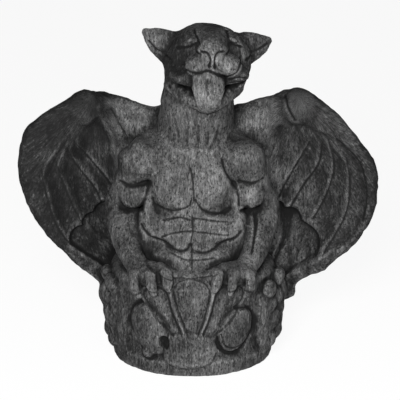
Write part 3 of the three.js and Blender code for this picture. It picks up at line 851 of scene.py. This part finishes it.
drag_place = node("Mapping", Vector=grain_place, Scale=(1000, 700, 190)).outputs[0]
drag = noise(drag_place, 1.0, Detail=4.0, Roughness=0.65, Distortion=0.6)
wide_drag_place = node("Mapping", Vector=grain_place, Scale=(300, 220, 60)).outputs[0]
wide_drag = noise(wide_drag_place, 1.0, Detail=3.0, Roughness=0.6, Distortion=0.8)
mottle = noise(object_place, 28.0, Detail=5.0, Roughness=0.6)
crumb = noise(object_place, 700.0, Detail=3.0, Roughness=0.7)
pit_cells = node("TexVoronoi", Vector=object_place, Scale=150.0, Randomness=1.0)
pit_size = between(noise(object_place, 60.0, Detail=2.0), 0.5, 0.75, 0.0, 0.22)
pit = combine("LESS_THAN", pit_cells.outputs["Distance"], pit_size)

speck_place = node("Mapping", Vector=grain_place, Scale=(520, 400, 260)).outputs[0]
speck_noise = noise(speck_place, 1.0, Detail=2.0, Roughness=0.6)
speck = between(speck_noise, 0.58, 0.65)
fleck = between(speck_noise, 0.40, 0.32)
# line: a thin painted shadow line, with dark wash, along each scored crease, rib, hem, petal and scroll
line_wide = between(noise(object_place, 90.0, Detail=2.0), 0.35, 0.65, 0.5, 1.4)
line_gap = combine("ABSOLUTE", kept("line_side"), 0)
line = between(combine("SUBTRACT", line_gap, line_wide), 0.5, -0.3)
line = combine("MULTIPLY", line, between(kept("line_near"), 3.5, 2.5))
# worn pales the ridges as rubbed wear. sunk darkens the grooves with dark wash and painted shade. nook and
# deep are painted shade: nook where stone stands close before a place, deep in the deep hollows.
worn = between(groove, 0.0, -0.16)
sunk = between(groove, 0.02, 0.14)
nook = between(kept("close"), 0.10, 0.5)
deep = between(kept("shut_in"), 0.05, 0.45)
MOTTLED = 0.30  # how much the grain and the mottle change the tone
tone = combine("ADD", between(drag, 0.3, 0.7, -0.5, 0.5), between(wide_drag, 0.3, 0.7, -0.5, 0.5))
tone = combine("ADD", tone, between(mottle, 0.3, 0.7, -0.5, 0.5))
tone = combine("MULTIPLY", tone, MOTTLED)
# The layers lighten by rubbed wear and flecks, and darken by specks, the painted shadow lines, the painted
# shade in grooves and hollows, pits and the darkening map.
LAYERS = (
    ("ADD", worn, 0.22), ("ADD", fleck, 0.18), ("SUBTRACT", speck, 0.34), ("SUBTRACT", line, 0.24),
    ("SUBTRACT", sunk, 0.20), ("SUBTRACT", nook, 0.25), ("SUBTRACT", deep, 0.35), ("SUBTRACT", pit, 0.3),
    ("SUBTRACT", kept("darkening"), 1.0),
)
for sign, mask, share in LAYERS:
    tone = combine(sign, tone, combine("MULTIPLY", mask, share))
BARE_TONE = 0.44
tone = combine("ADD", tone, BARE_TONE)
ramp = node("ValToRGB")
links.new(tone, ramp.inputs[0])
STONE_TONES = ((0.0, 0.003), (0.25, 0.014), (0.5, 0.070), (0.75, 0.175), (1.0, 0.320))
while len(ramp.color_ramp.elements) < len(STONE_TONES):
    ramp.color_ramp.elements.new(0.5)
for stop, (place, grey) in zip(ramp.color_ramp.elements, STONE_TONES):
    stop.position = place
    stop.color = (grey, grey, grey, 1)
links.new(ramp.outputs[0], shader.inputs["Base Color"])
links.new(between(tone, 0.0, 1.0, 0.82, 0.58), shader.inputs["Roughness"])
shader.inputs["Specular IOR Level"].default_value = 0.3

height = combine("ADD", combine("MULTIPLY", drag, 0.5), combine("MULTIPLY", crumb, 0.35))
height = combine("ADD", height, combine("MULTIPLY", wide_drag, 0.7))
height = combine("SUBTRACT", height, combine("MULTIPLY", pit, 0.9))
bump = node("Bump", Strength=0.75, Distance=0.0015, Height=height)
links.new(bump.outputs[0], shader.inputs["Normal"])
cast.materials.clear()
cast.materials.append(stone)

# ---- Studio: a pale floor, a large soft light in front and above, and a camera a little above.
FLOOR = 12.0
floor_mesh = bpy.data.meshes.new("floor")
corners = [(FLOOR * x, FLOOR * y, 0) for x, y in ((-1, -1), (1, -1), (1, 1), (-1, 1))]
floor_mesh.from_pydata(corners, [], [(0, 1, 2, 3)])
floor = bpy.data.objects.new("floor", floor_mesh)
bpy.context.scene.collection.objects.link(floor)
# the paper is lit as paper for the figure, and shows nearly white to the camera
paper = bpy.data.materials.new("paper")
paper.use_nodes = True
sheet, join = paper.node_tree.nodes, paper.node_tree.links
sheet["Principled BSDF"].inputs["Base Color"].default_value = (0.8, 0.8, 0.8, 1)
sheet["Principled BSDF"].inputs["Roughness"].default_value = 0.9
glow = sheet.new("ShaderNodeEmission")
glow.inputs["Strength"].default_value = 1.08
seen_paper = sheet.new("ShaderNodeMixShader")
share_lit = sheet.new("ShaderNodeMath")
share_lit.operation = "MULTIPLY"
share_lit.inputs[1].default_value = 0.85
join.new(sheet.new("ShaderNodeLightPath").outputs["Is Camera Ray"], share_lit.inputs[0])
join.new(share_lit.outputs[0], seen_paper.inputs[0])
join.new(sheet["Principled BSDF"].outputs[0], seen_paper.inputs[1])
join.new(glow.outputs[0], seen_paper.inputs[2])
join.new(seen_paper.outputs[0], sheet["Material Output"].inputs["Surface"])
floor_mesh.materials.append(paper)

middle = Vector(((cad_low[0] + cad_high[0]) / 2, 0, (cad_low[2] + cad_high[2]) / 2))


def soft_light(name, place, size, power):
    """A square area light of that size, aimed at the middle of the figure."""
    lamp = bpy.data.lights.new(name, "AREA")
    lamp.size, lamp.energy = size, power
    holder = bpy.data.objects.new(name, lamp)
    holder.location = place
    holder.rotation_euler = (middle - Vector(place)).to_track_quat("-Z", "Y").to_euler()
    bpy.context.scene.collection.objects.link(holder)


soft_light("key", (-0.3, -2.6, 1.2), 0.8, 95)
soft_light("fill", (0.9, -2.4, 0.7), 1.2, 16)

world = bpy.data.worlds.new("studio")
world.use_nodes = True
BACKDROP_SEEN = 1.0
BACKDROP_LIGHT = 0.07
seen = world.node_tree.nodes.new("ShaderNodeLightPath").outputs["Is Camera Ray"]
strength = world.node_tree.nodes.new("ShaderNodeMapRange")
strength.inputs["To Min"].default_value = BACKDROP_LIGHT
strength.inputs["To Max"].default_value = BACKDROP_SEEN
world.node_tree.links.new(seen, strength.inputs["Value"])
backdrop = world.node_tree.nodes["Background"]
backdrop.inputs["Color"].default_value = (1, 1, 1, 1)
world.node_tree.links.new(strength.outputs[0], backdrop.inputs["Strength"])
bpy.context.scene.world = world
bpy.context.scene.view_settings.view_transform = "Standard"

CAMERA_RISE = np.radians(16)
CAMERA_AWAY = 2.5
PICTURE_WIDE = 0.52  # metres across the picture at the figure
camera_data = bpy.data.cameras.new("camera")
camera_data.sensor_width = 36.0
camera_data.lens = 36.0 * CAMERA_AWAY / PICTURE_WIDE
camera = bpy.data.objects.new("camera", camera_data)
aim = Vector((0.010, 0, 0.206))
camera.location = aim + CAMERA_AWAY * Vector((0, -np.cos(CAMERA_RISE), np.sin(CAMERA_RISE)))
camera.rotation_euler = (aim - camera.location).to_track_quat("-Z", "Y").to_euler()
bpy.context.scene.collection.objects.link(camera)
bpy.context.scene.camera = camera
